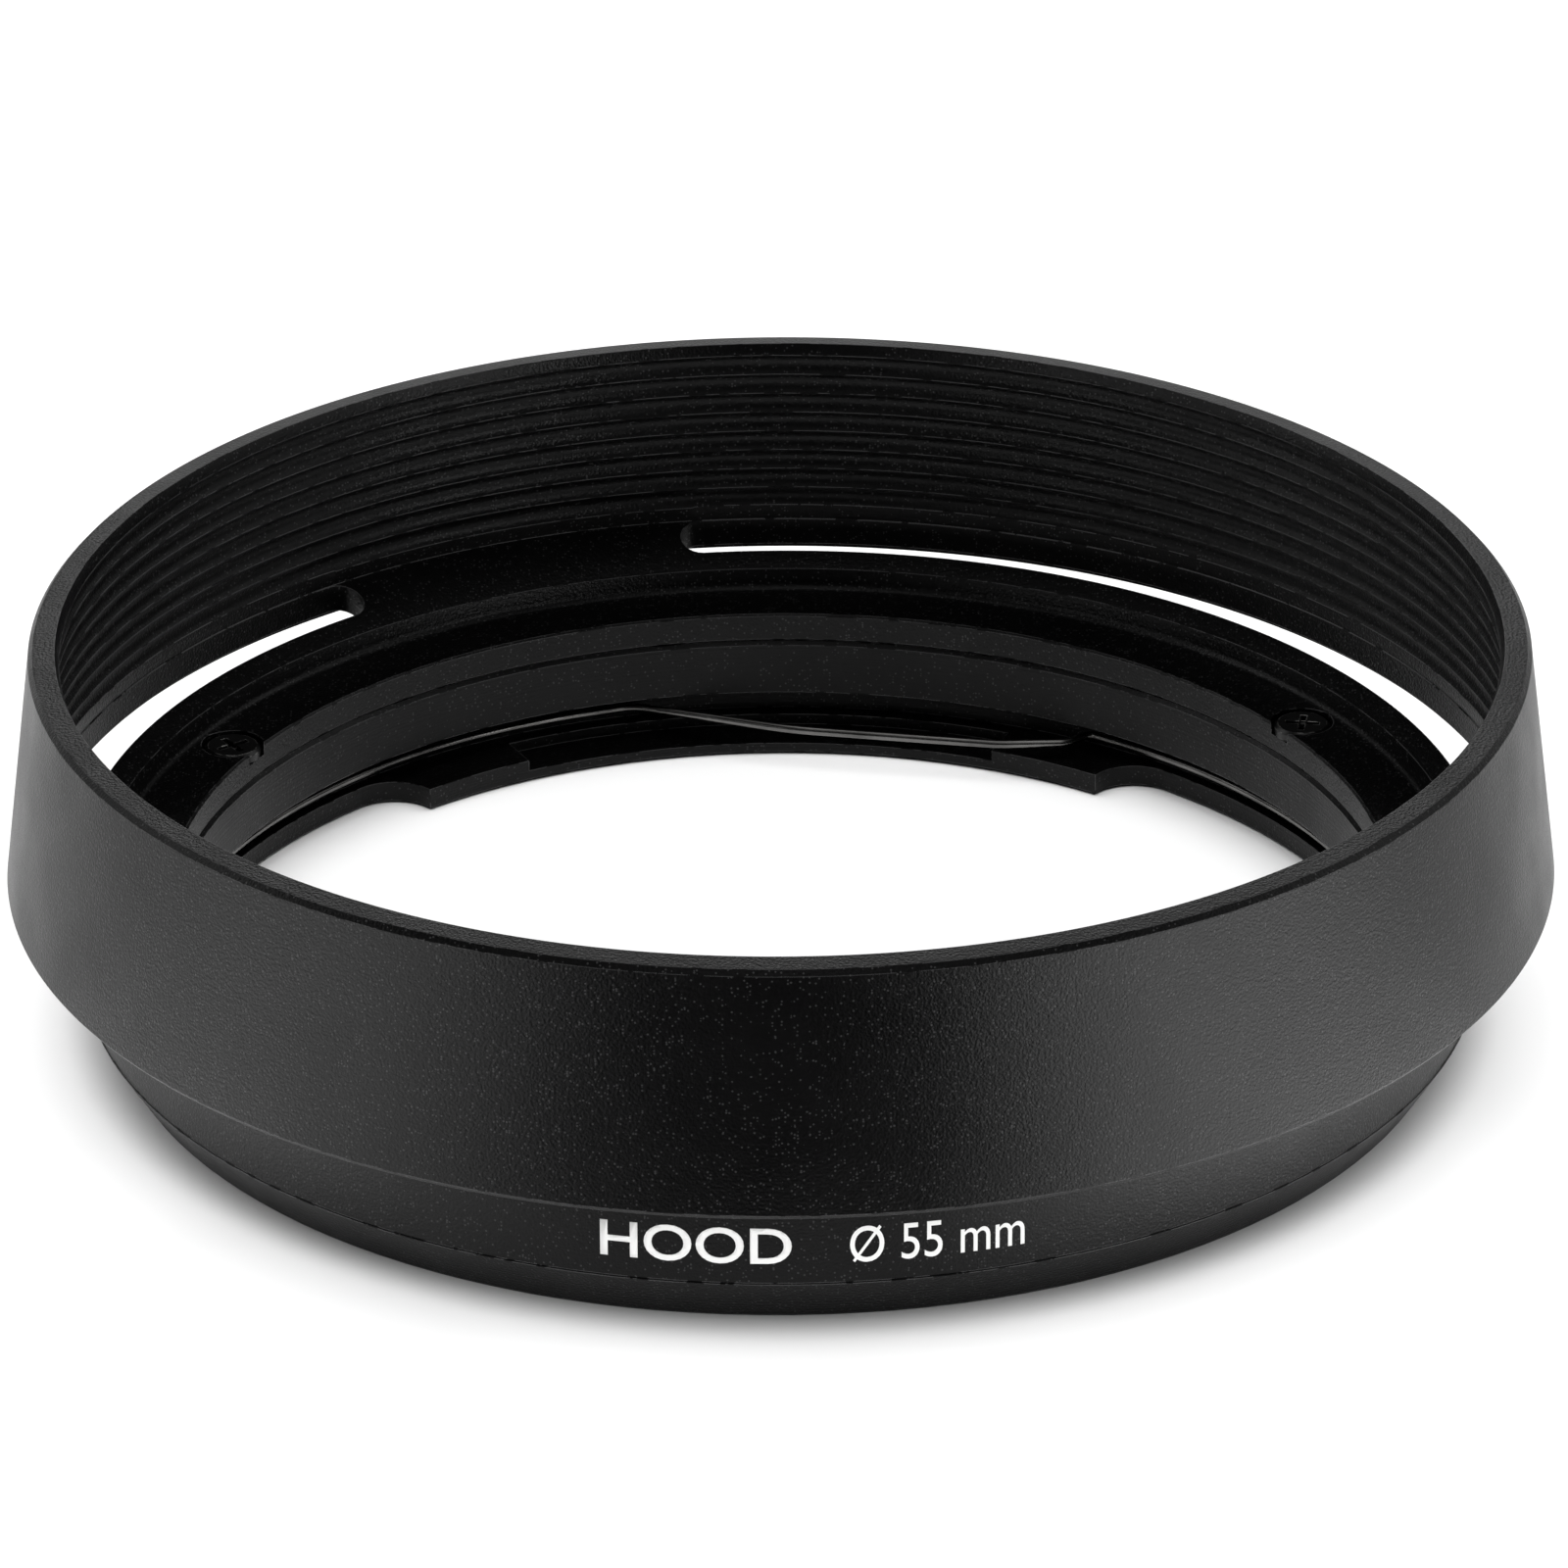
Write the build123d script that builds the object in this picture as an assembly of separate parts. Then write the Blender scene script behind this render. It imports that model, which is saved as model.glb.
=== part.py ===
from build123d import *

# Vented lens hood with a bayonet seat, in millimetres.
# The origin is the centre of the rear face, on the optical axis.
# +Z points forwards, from the lens to the open mouth; the marked side faces -Y.
# Clock angles are counted from the back (+Y) towards +X, in degrees.

import os
from math import asin, cos, degrees, radians, sin

# How far a cutter runs past the face it cuts, and how deep a joined block sinks in
CUTTER_OVERRUN = 1
SMALL_OVERLAP = 0.2

# Rim and cone of the shade
RIM_HEIGHT = 18.35
RIM_OUTER_RADIUS = 33.5
RIM_INNER_RADIUS = 32.5
RIM_CREST_HEIGHT = RIM_HEIGHT + 0.11
RIM_INNER_CHAMFER_WIDTH = 0.13
RIM_INNER_CHAMFER_DROP = 0.17
CONE_TOP_RADIUS = 33.72
CONE_TOP_HEIGHT = RIM_HEIGHT - 0.25
SKIRT_RADIUS = 35.0
SKIRT_EDGE_HEIGHT = 7.38
SKIRT_BOTTOM_HEIGHT = 7.15
SKIRT_CHAMFER = 0.2
SKIRT_INNER_RADIUS = 34.05

# Baffle grooves turned into the inside of the cone
BAFFLE_COUNT = 8
BAFFLE_PITCH = 1.055
BAFFLE_DEPTH = 0.3
BAFFLE_TOP_HEIGHT = 17.91
BAFFLE_TOP_RADIUS = 32.31
INNER_CONE_SLOPE = 0.159

# Vents: arc-shaped slots between the cone and the base, with webs between them
VENT_COUNT = 3
VENT_PITCH = 360 / VENT_COUNT
VENT_FIRST_ANGLE = 37.1
VENT_OPENING_ANGLE = 90.8
VENT_INNER_RADIUS = 31.7
VENT_OUTER_RADIUS = 33.75
WEB_TOP_HEIGHT = 8.75
WEB_BOTTOM_OUTER_HEIGHT = 7.6
WEB_BOTTOM_INNER_HEIGHT = 6.45

# Base wall, its lip and the flat floor
BASE_RADIUS = 31.6
BASE_BOTTOM_HEIGHT = 2.32
LIP_TOP_HEIGHT = 7.95
LIP_INNER_RADIUS = 30.7
LIP_INNER_HEIGHT = 7.49
FLOOR_WALL_RADIUS = 30.5
FLOOR_HEIGHT = 6.55
FLOOR_UNDERSIDE_HEIGHT = 5.15
FLOOR_CORNER_RADIUS = 0.4
FLOOR_OPENING_RADIUS = 27.5
SPIGOT_BORE_RADIUS = 30.4
EDGE_BREAK = 0.1

# Mount ring: spigot, lens seat, wire groove and bayonet lugs
SPIGOT_RADIUS = 30.35
FLANGE_STEP = 0.06
FLANGE_TOP_RADIUS = BASE_RADIUS + FLANGE_STEP
FLANGE_BOTTOM_RADIUS = 30.3
SEAT_RADIUS = 27.4
SEAT_CHAMFER = 0.18
GROOVE_TOP_HEIGHT = 2.5
GROOVE_BOTTOM_HEIGHT = 1.11
GROOVE_RADIUS = 28.7
LUG_COUNT = 3
LUG_PITCH = 360 / LUG_COUNT
LUG_FIRST_ANGLE = -2.3
LUG_WIDTH_ANGLE = 75.4
LUG_RADIUS = 25.75
LUG_GAP_RADIUS = 28.1
LUG_CUTTER_RADIUS = 2.2
LUG_POCKET_ANGLE = 50.6
LUG_POCKET_HEIGHT = 0.59
LUG_POCKET_RADIUS = 27.9
LUG_BOTTOM_CHAMFER = 0.15

# Wire: two arms that lie in the groove and an inward bow between them
WIRE_RADIUS = 0.2
WIRE_HEIGHT = 1.75
WIRE_PATH_RADIUS = 28.2
BOW_START_ANGLE = -19
BOW_END_ANGLE = 35
BOW_CORNERS = [(-7.0, 27.41), (0.5, 24.82), (10.3, 23.07), (13.6, 23.15), (14.72, 24.12)]
BOW_CORNER_RADII = [1.8, 14, 5, 0.9, 0.45]
WIRE_STOP_RADIUS = 28.15
WIRE_STOP_ANGLE = 177.7
WIRE_STOP_WIDTH_ANGLE = 11
WIRE_END_GAP_ANGLE = 2.5

# Screws through the floor into the mount ring
SCREW_COUNT = 3
SCREW_PITCH = 360 / SCREW_COUNT
SCREW_FIRST_ANGLE = 57.8
SCREW_CIRCLE_RADIUS = 28.8
SCREW_HEAD_RADIUS = 1.3
SCREW_HEAD_THICKNESS = 0.5
SCREW_SHANK_RADIUS = 0.8
SCREW_TIP_HEIGHT = 2.95
SCREW_TIP_CHAMFER = 0.2
SCREW_HEAD_CHAMFER = 0.15
COUNTERBORE_RADIUS = 1.45
COUNTERBORE_HEIGHT = 6.0
CLEARANCE_HOLE_RADIUS = 0.9
TAPPED_HOLE_RADIUS = 0.82
TAPPED_HOLE_BOTTOM_HEIGHT = 2.85
RECESS_SPAN = 1.6
RECESS_WIDTH = 0.3
RECESS_DEPTH = 0.3


def at_clock(radius, angle, height=0.0):
    """Point at a clock angle, counted from +Y towards +X."""
    return (radius * sin(radians(angle)), radius * cos(radians(angle)), height)


def turned(outline):
    """Solid of revolution of a closed outline drawn as (radius, height)."""
    return revolve(Plane.XZ * make_face(outline), Axis.Z)


def arc_slot(radius, width, middle_angle, opening_angle):
    """Flat arc-shaped slot whose whole opening, round ends included, is opening_angle."""
    arc_angle = opening_angle - 2 * degrees(asin(width / 2 / radius))
    start = 90 - middle_angle + arc_angle / 2
    return SlotArc(CenterArc((0, 0), radius, start, -arc_angle), width)


def ring_sector(inner_radius, outer_radius, bottom, top, middle_angle, width_angle):
    """Square-cut piece of a ring between two heights."""
    half_section = Polyline(
        (inner_radius, bottom),
        (outer_radius, bottom),
        (outer_radius, top),
        (inner_radius, top),
        close=True,
    )
    sector = revolve(Plane.XZ * make_face(half_section), Axis.Z, width_angle)
    return Rot(Z=90 - middle_angle - width_angle / 2) * sector


def baffle_point(index):
    """Crest number index of the baffle grooves, counted down from the rim."""
    drop = index * BAFFLE_PITCH
    return (BAFFLE_TOP_RADIUS + drop * INNER_CONE_SLOPE, BAFFLE_TOP_HEIGHT - drop)


def baffle_grooves():
    """Round-bottomed grooves, one arc from crest to crest."""
    arcs = []
    for index in range(BAFFLE_COUNT):
        upper = baffle_point(index)
        lower = baffle_point(index + 1)
        root = ((upper[0] + lower[0]) / 2 + BAFFLE_DEPTH, (upper[1] + lower[1]) / 2)
        arcs.append(ThreePointArc(upper, root, lower))
    return arcs


def shade_outline():
    """Half section of the shade: cone, skirt, web, lip, floor and base wall."""
    rim_and_inner_wall = Polyline(
        (RIM_OUTER_RADIUS, RIM_HEIGHT),
        (RIM_INNER_RADIUS, RIM_CREST_HEIGHT),
        (RIM_INNER_RADIUS - RIM_INNER_CHAMFER_WIDTH, RIM_HEIGHT - RIM_INNER_CHAMFER_DROP),
        baffle_point(0),
    )
    web_and_lip = Polyline(
        baffle_point(BAFFLE_COUNT),
        (VENT_OUTER_RADIUS, WEB_TOP_HEIGHT),
        (VENT_INNER_RADIUS, LIP_TOP_HEIGHT),
        (LIP_INNER_RADIUS, LIP_INNER_HEIGHT),
        (FLOOR_WALL_RADIUS, FLOOR_HEIGHT + FLOOR_CORNER_RADIUS),
    )
    floor_corner = RadiusArc(
        (FLOOR_WALL_RADIUS, FLOOR_HEIGHT + FLOOR_CORNER_RADIUS),
        (FLOOR_WALL_RADIUS - FLOOR_CORNER_RADIUS, FLOOR_HEIGHT),
        FLOOR_CORNER_RADIUS,
    )
    floor_and_base = Polyline(
        (FLOOR_WALL_RADIUS - FLOOR_CORNER_RADIUS, FLOOR_HEIGHT),
        (FLOOR_OPENING_RADIUS + EDGE_BREAK, FLOOR_HEIGHT),
        (FLOOR_OPENING_RADIUS, FLOOR_HEIGHT - EDGE_BREAK),
        (FLOOR_OPENING_RADIUS, FLOOR_UNDERSIDE_HEIGHT + EDGE_BREAK),
        (FLOOR_OPENING_RADIUS + EDGE_BREAK, FLOOR_UNDERSIDE_HEIGHT),
        (SPIGOT_BORE_RADIUS, FLOOR_UNDERSIDE_HEIGHT),
        (SPIGOT_BORE_RADIUS, BASE_BOTTOM_HEIGHT),
        (BASE_RADIUS, BASE_BOTTOM_HEIGHT),
        (BASE_RADIUS, WEB_BOTTOM_INNER_HEIGHT),
        (SKIRT_INNER_RADIUS, WEB_BOTTOM_OUTER_HEIGHT),
        (SKIRT_INNER_RADIUS, SKIRT_BOTTOM_HEIGHT),
        (SKIRT_RADIUS - SKIRT_CHAMFER, SKIRT_BOTTOM_HEIGHT),
        (SKIRT_RADIUS, SKIRT_EDGE_HEIGHT),
        (CONE_TOP_RADIUS, CONE_TOP_HEIGHT),
        (RIM_OUTER_RADIUS, RIM_HEIGHT),
    )
    return [rim_and_inner_wall, *baffle_grooves(), web_and_lip, floor_corner, floor_and_base]


def vent_cutter(middle_angle):
    """Tool path of one vent, milled along the axis through the web."""
    width = VENT_OUTER_RADIUS - VENT_INNER_RADIUS
    radius = VENT_INNER_RADIUS + width / 2
    slot = arc_slot(radius, width, middle_angle, VENT_OPENING_ANGLE)
    bottom = WEB_BOTTOM_INNER_HEIGHT - CUTTER_OVERRUN
    return extrude(Pos(0, 0, bottom) * slot, WEB_TOP_HEIGHT + CUTTER_OVERRUN - bottom)


def hood_shell():
    """Turned shade with its vents and its counterbored screw holes."""
    shell = turned(shade_outline())
    for number in range(VENT_COUNT):
        shell -= vent_cutter(VENT_FIRST_ANGLE + number * VENT_PITCH)
    hole_height = (COUNTERBORE_HEIGHT + FLOOR_UNDERSIDE_HEIGHT) / 2
    for number in range(SCREW_COUNT):
        place = Pos(at_clock(SCREW_CIRCLE_RADIUS, SCREW_FIRST_ANGLE + number * SCREW_PITCH))
        counterbore = Cylinder(
            COUNTERBORE_RADIUS, CUTTER_OVERRUN, align=(Align.CENTER, Align.CENTER, Align.MIN)
        )
        clearance_hole = Cylinder(CLEARANCE_HOLE_RADIUS, 2 * CUTTER_OVERRUN)
        shell -= place * Pos(0, 0, COUNTERBORE_HEIGHT) * counterbore
        shell -= place * Pos(0, 0, hole_height) * clearance_hole
    return shell


def mount_ring_outline():
    """Half section of the mount ring, with the lugs still one full ring."""
    return Polyline(
        (SEAT_RADIUS + SEAT_CHAMFER, FLOOR_UNDERSIDE_HEIGHT),
        (SEAT_RADIUS, FLOOR_UNDERSIDE_HEIGHT - SEAT_CHAMFER),
        (SEAT_RADIUS, GROOVE_TOP_HEIGHT),
        (GROOVE_RADIUS, GROOVE_TOP_HEIGHT),
        (GROOVE_RADIUS, GROOVE_BOTTOM_HEIGHT),
        (LUG_RADIUS, GROOVE_BOTTOM_HEIGHT),
        (LUG_RADIUS, 0),
        (FLANGE_BOTTOM_RADIUS - EDGE_BREAK, 0),
        (FLANGE_BOTTOM_RADIUS, EDGE_BREAK),
        (FLANGE_TOP_RADIUS, BASE_BOTTOM_HEIGHT - FLANGE_STEP),
        (BASE_RADIUS, BASE_BOTTOM_HEIGHT),
        (SPIGOT_RADIUS, BASE_BOTTOM_HEIGHT),
        (SPIGOT_RADIUS, FLOOR_UNDERSIDE_HEIGHT - EDGE_BREAK),
        (SPIGOT_RADIUS - EDGE_BREAK, FLOOR_UNDERSIDE_HEIGHT),
        close=True,
    )


def lug_gap_cutter(middle_angle):
    """Round-ended gap between two lugs."""
    radius = LUG_GAP_RADIUS - LUG_CUTTER_RADIUS
    corner_reach = (LUG_CUTTER_RADIUS**2 - (LUG_RADIUS - radius) ** 2) ** 0.5
    arc_angle = LUG_PITCH - LUG_WIDTH_ANGLE - 2 * degrees(asin(corner_reach / LUG_RADIUS))
    start = 90 - middle_angle + arc_angle / 2
    gap = SlotArc(CenterArc((0, 0), radius, start, -arc_angle), 2 * LUG_CUTTER_RADIUS)
    return extrude(
        Pos(0, 0, -CUTTER_OVERRUN) * gap,
        CUTTER_OVERRUN + GROOVE_BOTTOM_HEIGHT + SMALL_OVERLAP,
    )


def lug_pocket_cutter(middle_angle):
    """Shallow pocket in a lug's inner face, which leaves a raised stop at each end."""
    return ring_sector(
        LUG_RADIUS - CUTTER_OVERRUN,
        LUG_POCKET_RADIUS,
        LUG_POCKET_HEIGHT,
        GROOVE_BOTTOM_HEIGHT + SMALL_OVERLAP,
        middle_angle,
        LUG_POCKET_ANGLE,
    )


def wire_stop():
    """Uncut stretch of the groove between the wire's two ends."""
    return ring_sector(
        WIRE_STOP_RADIUS,
        GROOVE_RADIUS + SMALL_OVERLAP,
        GROOVE_BOTTOM_HEIGHT - SMALL_OVERLAP,
        GROOVE_TOP_HEIGHT + SMALL_OVERLAP,
        WIRE_STOP_ANGLE,
        WIRE_STOP_WIDTH_ANGLE,
    )


def mount_ring():
    """Bayonet ring: spigot, lens seat, wire groove, lugs and tapped holes."""
    ring = turned(mount_ring_outline())
    for number in range(LUG_COUNT):
        lug_angle = LUG_FIRST_ANGLE + number * LUG_PITCH
        ring -= lug_gap_cutter(lug_angle + LUG_PITCH / 2)
        ring -= lug_pocket_cutter(lug_angle)
    bottom_edges = ring.faces().sort_by(Axis.Z)[0].inner_wires()[0].edges()
    ring = chamfer(bottom_edges, LUG_BOTTOM_CHAMFER)
    ring += wire_stop()
    depth = FLOOR_UNDERSIDE_HEIGHT - TAPPED_HOLE_BOTTOM_HEIGHT + CUTTER_OVERRUN
    tapped_hole = Cylinder(TAPPED_HOLE_RADIUS, depth, align=(Align.CENTER, Align.CENTER, Align.MIN))
    for number in range(SCREW_COUNT):
        angle = SCREW_FIRST_ANGLE + number * SCREW_PITCH
        ring -= Pos(at_clock(SCREW_CIRCLE_RADIUS, angle, TAPPED_HOLE_BOTTOM_HEIGHT)) * tapped_hole
    return ring


def retaining_wire():
    """One bent wire: left arm, inward bow, right arm."""
    end_offset = WIRE_STOP_WIDTH_ANGLE / 2 + WIRE_END_GAP_ANGLE
    left_end_angle = WIRE_STOP_ANGLE - 360 + end_offset
    right_end_angle = WIRE_STOP_ANGLE - end_offset
    left_arm = CenterArc(
        (0, 0), WIRE_PATH_RADIUS, 90 - left_end_angle, left_end_angle - BOW_START_ANGLE
    )
    right_arm = CenterArc(
        (0, 0), WIRE_PATH_RADIUS, 90 - BOW_END_ANGLE, BOW_END_ANGLE - right_end_angle
    )
    bow = FilletPolyline(
        at_clock(WIRE_PATH_RADIUS, BOW_START_ANGLE),
        *BOW_CORNERS,
        at_clock(WIRE_PATH_RADIUS, BOW_END_ANGLE),
        radius=BOW_CORNER_RADII,
    )
    path = Pos(0, 0, WIRE_HEIGHT) * Wire([left_arm, *bow.edges(), right_arm])
    section = Plane(origin=path @ 0, z_dir=path % 0) * Circle(WIRE_RADIUS)
    return sweep(section, path)


def fixing_screw():
    """Flat-headed screw with a cross recess, its tip at height 0."""
    shank_length = COUNTERBORE_HEIGHT - SCREW_TIP_HEIGHT
    top = shank_length + SCREW_HEAD_THICKNESS
    outline = Polyline(
        (0, 0),
        (SCREW_SHANK_RADIUS - SCREW_TIP_CHAMFER, 0),
        (SCREW_SHANK_RADIUS, SCREW_TIP_CHAMFER),
        (SCREW_SHANK_RADIUS, shank_length),
        (SCREW_HEAD_RADIUS, shank_length),
        (SCREW_HEAD_RADIUS, top - SCREW_HEAD_CHAMFER),
        (SCREW_HEAD_RADIUS - SCREW_HEAD_CHAMFER, top),
        (0, top),
        close=True,
    )
    screw = turned(outline)
    blade = Pos(0, 0, top) * Box(RECESS_SPAN, RECESS_WIDTH, 2 * RECESS_DEPTH)
    return screw - blade - Rot(Z=90) * blade


def fixing_screws():
    """The screws stand on one circle, each in the middle of a lug gap."""
    screws = []
    for number in range(SCREW_COUNT):
        angle = SCREW_FIRST_ANGLE + number * SCREW_PITCH
        screws.append(Pos(at_clock(SCREW_CIRCLE_RADIUS, angle, SCREW_TIP_HEIGHT)) * fixing_screw())
    return Compound(children=screws)


os.makedirs("parts", exist_ok=True)
for make_piece in (hood_shell, mount_ring, retaining_wire, fixing_screws):
    export_step(make_piece(), f"parts/{make_piece.__name__}.step")
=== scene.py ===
from math import asin, atan2, cos, degrees, pi, radians, sin, tan, tau

import bmesh
import bpy
from mathutils import Euler, Matrix, Vector


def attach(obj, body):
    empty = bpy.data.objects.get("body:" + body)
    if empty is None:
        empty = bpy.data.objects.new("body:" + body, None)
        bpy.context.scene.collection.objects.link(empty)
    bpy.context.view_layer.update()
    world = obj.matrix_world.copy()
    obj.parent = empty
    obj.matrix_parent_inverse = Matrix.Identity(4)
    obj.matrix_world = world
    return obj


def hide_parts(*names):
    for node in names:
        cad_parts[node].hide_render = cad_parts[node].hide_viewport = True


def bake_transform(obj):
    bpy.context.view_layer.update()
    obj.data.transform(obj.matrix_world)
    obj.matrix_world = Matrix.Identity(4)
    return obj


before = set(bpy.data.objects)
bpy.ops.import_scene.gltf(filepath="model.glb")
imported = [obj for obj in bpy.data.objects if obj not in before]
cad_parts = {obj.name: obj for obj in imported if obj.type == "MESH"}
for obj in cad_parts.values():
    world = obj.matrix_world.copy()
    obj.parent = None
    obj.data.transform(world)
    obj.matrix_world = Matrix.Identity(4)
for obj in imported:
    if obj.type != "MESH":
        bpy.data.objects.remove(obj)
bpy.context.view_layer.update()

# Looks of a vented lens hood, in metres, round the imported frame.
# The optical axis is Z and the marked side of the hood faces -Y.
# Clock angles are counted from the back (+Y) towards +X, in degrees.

MM = 0.001

# Shade: rim, cone and baffle grooves, in millimetres of (radius, height)
TURNED_STEPS = 360
ROUND_SIDES = 48
SHARP_ANGLE = 30
RIM_OUTLINE = [(33.5, 18.35), (32.5, 18.46), (32.37, 18.18)]
BAFFLE_COUNT = 8
BAFFLE_PITCH = 1.055
BAFFLE_DEPTH = 0.3
BAFFLE_TOP = (32.31, 17.91)
BAFFLE_SLOPE = 0.159
BAFFLE_STEPS = 12
WEB_AND_LIP_OUTLINE = [(33.75, 8.75), (31.7, 7.95), (30.7, 7.49)]
FLOOR_CORNER_CENTRE = (30.1, 6.95)
FLOOR_CORNER_RADIUS = 0.4
FLOOR_CORNER_STEPS = 6
FLOOR_OUTLINE = [(30.05, 6.55), (27.6, 6.55), (27.5, 6.45), (27.5, 5.25), (27.6, 5.15)]
BASE_OUTLINE = [(30.4, 5.15), (30.4, 2.32), (31.6, 2.32), (31.6, 6.45)]
SKIRT_OUTLINE = [(34.05, 7.6), (34.05, 7.15), (34.8, 7.15), (35.0, 7.38), (33.72, 18.1)]

# Vents, cut 0.04 mm inside the web's edges so that a thin ledge is left
VENT_COUNT = 3
VENT_FIRST_ANGLE = 37.1
VENT_OPENING_ANGLE = 90.8
VENT_INNER_RADIUS = 31.74 * MM
VENT_OUTER_RADIUS = 33.71 * MM
VENT_CUT = (5.5 * MM, 9.5 * MM)
VENT_ARC_STEPS = 91
VENT_END_STEPS = 12

# Wire: round spring steel, two arms in the groove and an inward bow between them
WIRE_RADIUS = 0.2 * MM
WIRE_HEIGHT = 1.75 * MM
WIRE_PATH_RADIUS = 28.2 * MM
WIRE_SIDES = 20
ARM_STEP_ANGLE = 1.5
CORNER_STEP_ANGLE = 4
ARM_ENDS = (-174.3, 169.7)
BOW_ROOTS = (-19, 35)
BOW_CORNERS = [(-7.0, 27.41), (0.5, 24.82), (10.3, 23.07), (13.6, 23.15), (14.72, 24.12)]
BOW_CORNER_RADII = [1.8, 14, 5, 0.9, 0.45]
BOW_SPLITS = (-14.5, 31.3)

# Screws: flat heads with a cross recess, on one circle
SCREW_COUNT = 3
SCREW_FIRST_ANGLE = 57.8
SCREW_CIRCLE_RADIUS = 28.8 * MM
SCREW_SEAT_HEIGHT = 6.0 * MM
SCREW_HEAD_RADIUS = 1.3 * MM
SCREW_HEAD_THICKNESS = 0.5 * MM
SCREW_SHANK_RADIUS = 0.8 * MM
SCREW_SHANK_LENGTH = 3.05 * MM
SCREW_TIP_CHAMFER = 0.2 * MM
SCREW_HEAD_CHAMFER = 0.15 * MM
COUNTERBORE_RADIUS = 1.45 * MM
COUNTERBORE_TOP = 7.2 * MM
CLEARANCE_HOLE_RADIUS = 0.9 * MM
CLEARANCE_HOLE_BOTTOM = 4.5 * MM
RECESS_SPAN = 1.6 * MM
RECESS_WIDTH = 0.3 * MM
RECESS_DEPTH = 0.3 * MM
SCREW_TURN_PER_PLACE = -1.7

# Printed size marking on the front of the base wall
BASE_RADIUS = 31.6 * MM
PRINT_THICKNESS = 0.012 * MM
PRINT_BASELINE = 3.25 * MM
PRINT_CAP_HEIGHT = 1.75 * MM
PRINT_STRIP_WIDTH = 0.3 * MM
MERGE_DISTANCE = 0.0005 * MM
# Words: text, left end, width and how much the strokes are thickened
PRINTED_WORDS = [("HOOD", -7.9 * MM, 8.3 * MM, 0.012), ("Ø 55 mm", 2.9 * MM, 7.7 * MM, 0.0)]


# Finishes: rounding of edges, and the share of each effect in the black anodising
# The bright colour of the anodising is partly rubbed wear and partly painted highlight on the edges, and
# painted glints on the rare grain flecks.
EDGE_ROUNDING = 0.07 * MM
EDGE_WEAR_AND_HIGHLIGHT_SHARE = 0.7
GLINT_FLECK_STRENGTH = 0.22
WEAR_POLISH = 0.12
ANODISED_SPECULAR_LEVEL = 0.16


def at_clock(radius, angle, height=0.0):
    """Point at a clock angle, counted from +Y towards +X."""
    return Vector((radius * sin(radians(angle)), radius * cos(radians(angle)), height))


# Node tools


def add_node(tree, kind, inputs=None, **settings):
    """New node with its settings and its input values or links."""
    node = tree.nodes.new(kind)
    for name, value in settings.items():
        setattr(node, name, value)
    for name, value in (inputs or {}).items():
        if isinstance(value, bpy.types.NodeSocket):
            tree.links.new(value, node.inputs[name])
        else:
            node.inputs[name].default_value = value
    return node


def math_node(tree, operation, first, second=0.0):
    """Output of a two-value math node."""
    return add_node(tree, "ShaderNodeMath", {0: first, 1: second}, operation=operation).outputs[0]


def remap(tree, value, low, high, to_low=0.0, to_high=1.0):
    """Value carried linearly from one range to another, held inside it."""
    inputs = {"Value": value, "From Min": low, "From Max": high}
    inputs.update({"To Min": to_low, "To Max": to_high})
    return add_node(tree, "ShaderNodeMapRange", inputs).outputs["Result"]


def new_group(name, kind, sockets_in, sockets_out):
    """Node group with named sockets; returns the tree and its input and output nodes."""
    tree = bpy.data.node_groups.new(name, kind)
    for title, socket_type, value in sockets_in:
        socket = tree.interface.new_socket(title, in_out="INPUT", socket_type=socket_type)
        if value is not None:
            socket.default_value = value
    for title, socket_type in sockets_out:
        tree.interface.new_socket(title, in_out="OUTPUT", socket_type=socket_type)
    return tree, tree.nodes.new("NodeGroupInput"), tree.nodes.new("NodeGroupOutput")


def object_point(tree):
    """Object coordinates of the shaded point."""
    return add_node(tree, "ShaderNodeTexCoord").outputs["Object"]


# Shared finishes


def blasted_grain_group():
    """Fine bead-blasted grain: a height, a slow tone change and a mask of rare flecks, which the
    anodising paints bright as painted glints.
    """
    tree, inputs, outputs = new_group(
        "Blasted grain",
        "ShaderNodeTree",
        [
            ("Grains Per Metre", "NodeSocketFloat", 7600.0),
            ("Cloud Scale", "NodeSocketFloat", 260.0),
            ("Fleck Share", "NodeSocketFloat", 0.02),
        ],
        [
            ("Height", "NodeSocketFloat"),
            ("Cloud", "NodeSocketFloat"),
            ("Fleck", "NodeSocketFloat"),
        ],
    )
    point = object_point(tree)
    scale = inputs.outputs["Grains Per Metre"]
    coarse = add_node(tree, "ShaderNodeTexNoise", {"Vector": point, "Scale": scale, "Detail": 3.0})
    pits = add_node(tree, "ShaderNodeTexVoronoi", {"Vector": point, "Scale": scale})
    pitted = math_node(tree, "MULTIPLY", pits.outputs["Distance"], 0.6)
    height = math_node(tree, "ADD", coarse.outputs["Fac"], pitted)
    cloud_scale = inputs.outputs["Cloud Scale"]
    cloud = add_node(
        tree, "ShaderNodeTexNoise", {"Vector": point, "Scale": cloud_scale, "Detail": 4.0}
    )
    cell = add_node(tree, "ShaderNodeSeparateColor", {"Color": pits.outputs["Color"]})
    # Rare cells picked as flecks; in the anodising colour they are painted glints.
    chosen = math_node(tree, "LESS_THAN", cell.outputs["Red"], inputs.outputs["Fleck Share"])
    core = math_node(tree, "LESS_THAN", pits.outputs["Distance"], 0.35)
    tree.links.new(height, outputs.inputs["Height"])
    tree.links.new(cloud.outputs["Fac"], outputs.inputs["Cloud"])
    tree.links.new(math_node(tree, "MULTIPLY", chosen, core), outputs.inputs["Fleck"])
    return tree


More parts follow.
